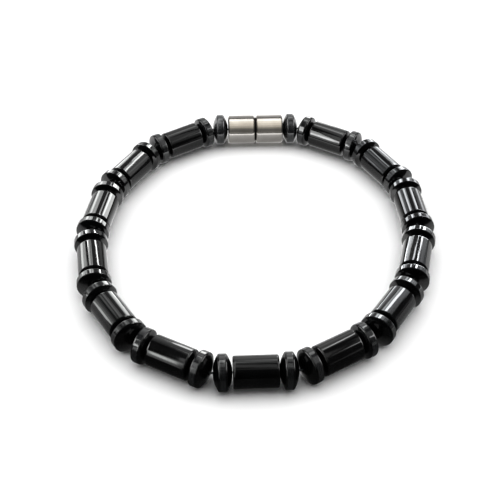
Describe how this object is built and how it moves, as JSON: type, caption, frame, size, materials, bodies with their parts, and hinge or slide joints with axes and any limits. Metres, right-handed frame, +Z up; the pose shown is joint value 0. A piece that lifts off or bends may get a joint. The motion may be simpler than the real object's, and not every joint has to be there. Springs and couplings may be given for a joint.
{
  "type": "magnetic bracelet",
  "caption": "Closed bracelet of glossy black tube beads and bevelled disc beads on a wire, joined by a two-part cylindrical magnetic clasp.",
  "frame": {"origin": "centre of the loop's box on the surface that the bracelet lies on", "axes": "+Z up, along the loop's own axis; +Y to the clasp at the back, along the loop's longer way; +X to the right"},
  "size_m": [0.0716, 0.08, 0.0066],
  "materials": {
    "black_stone": "mirror polished",
    "clasp_steel": "polished, warm silver",
    "wire_steel": "drawn wire"
  },
  "bodies": {
    "root": {"clasp_half_left": "clasp_steel", "clasp_half_right": "clasp_steel", "tube_bead_01": "black_stone", "tube_bead_02": "black_stone", "tube_bead_03": "black_stone", "tube_bead_04": "black_stone", "tube_bead_05": "black_stone", "tube_bead_06": "black_stone", "tube_bead_07": "black_stone", "tube_bead_08": "black_stone", "tube_bead_09": "black_stone", "tube_bead_10": "black_stone", "tube_bead_11": "black_stone", "tube_bead_12": "black_stone", "tube_bead_13": "black_stone", "disc_bead_01": "black_stone", "disc_bead_02": "black_stone", "disc_bead_03": "black_stone", "disc_bead_04": "black_stone", "disc_bead_05": "black_stone", "disc_bead_06": "black_stone", "disc_bead_07": "black_stone", "disc_bead_08": "black_stone", "disc_bead_09": "black_stone", "disc_bead_10": "black_stone", "disc_bead_11": "black_stone", "disc_bead_12": "black_stone", "disc_bead_13": "black_stone", "disc_bead_14": "black_stone", "disc_bead_15": "black_stone", "disc_bead_16": "black_stone", "disc_bead_17": "black_stone", "disc_bead_18": "black_stone", "disc_bead_19": "black_stone", "disc_bead_20": "black_stone", "disc_bead_21": "black_stone", "disc_bead_22": "black_stone", "disc_bead_23": "black_stone", "disc_bead_24": "black_stone", "disc_bead_25": "black_stone", "disc_bead_26": "black_stone", "disc_bead_27": "black_stone", "disc_bead_28": "black_stone", "stringing_wire": "wire_steel"}
  },
  "joints": []
}
